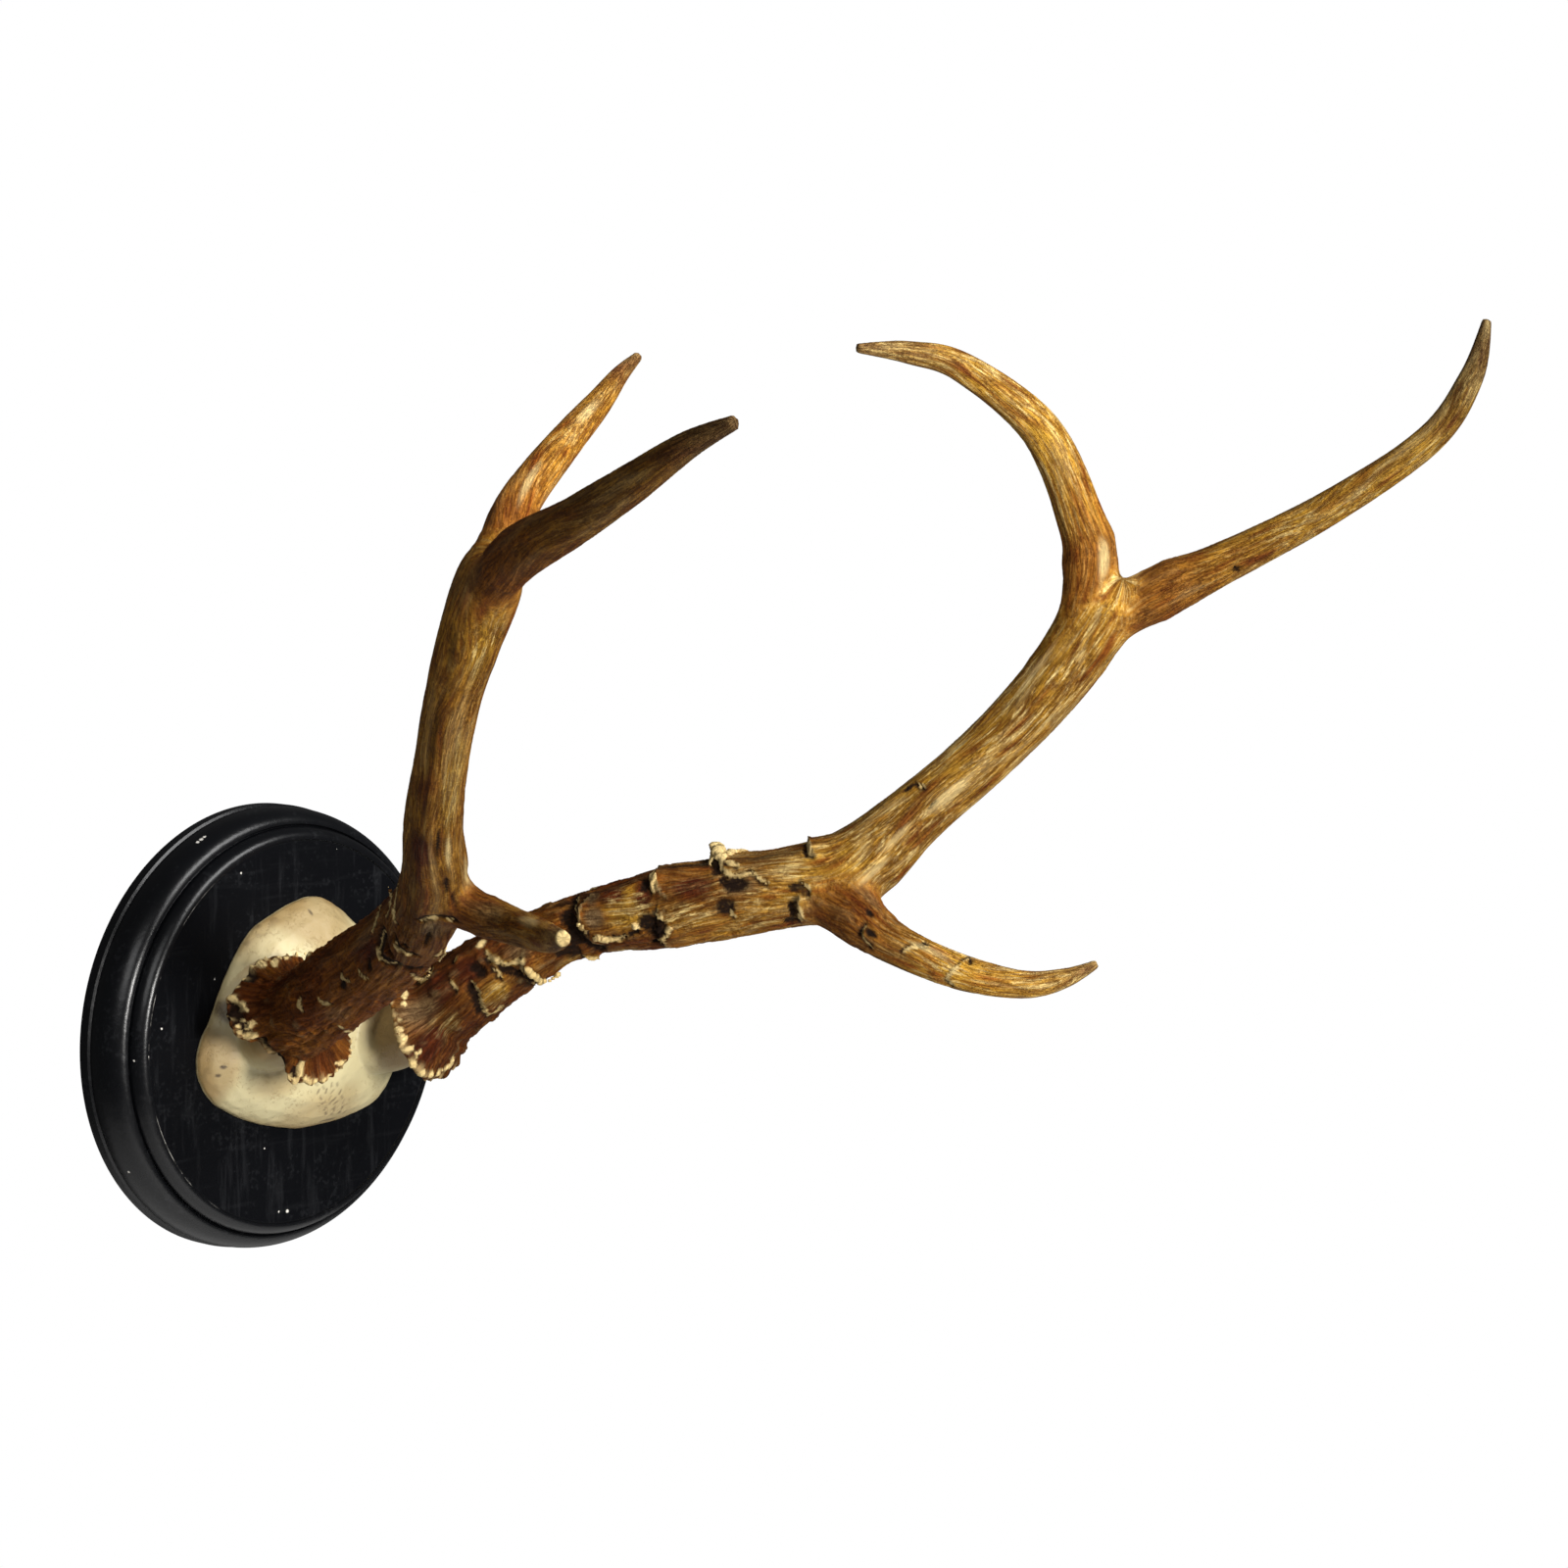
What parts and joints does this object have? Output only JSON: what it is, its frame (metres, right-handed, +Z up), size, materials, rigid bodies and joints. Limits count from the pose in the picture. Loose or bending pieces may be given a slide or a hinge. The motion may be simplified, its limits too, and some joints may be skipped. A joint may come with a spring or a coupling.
{
  "type": "antler mounting plaque",
  "caption": "Turned black wooden wall disc carrying a bleached skull plate and a pair of pearled three-point antlers.",
  "frame": {"origin": "centre of the disc's flat back, which lies on the wall", "axes": "+Y into the wall, -Y out to the viewer, +X to the viewer's right, +Z up"},
  "size_m": [0.4217, 0.4064, 0.3565],
  "materials": {
    "black_lacquer": "ebonised and lacquered turned wood, semi-gloss, worn on its edges",
    "bleached_bone": "matt bleached bone with tan stains",
    "antler": "brown antler with pale worn ridges, dark hollows and a dull polish"
  },
  "bodies": {
    "root": {"plaque": "black_lacquer", "skull_plate": "bleached_bone", "left_antler": "antler", "right_antler": "antler"}
  },
  "joints": []
}
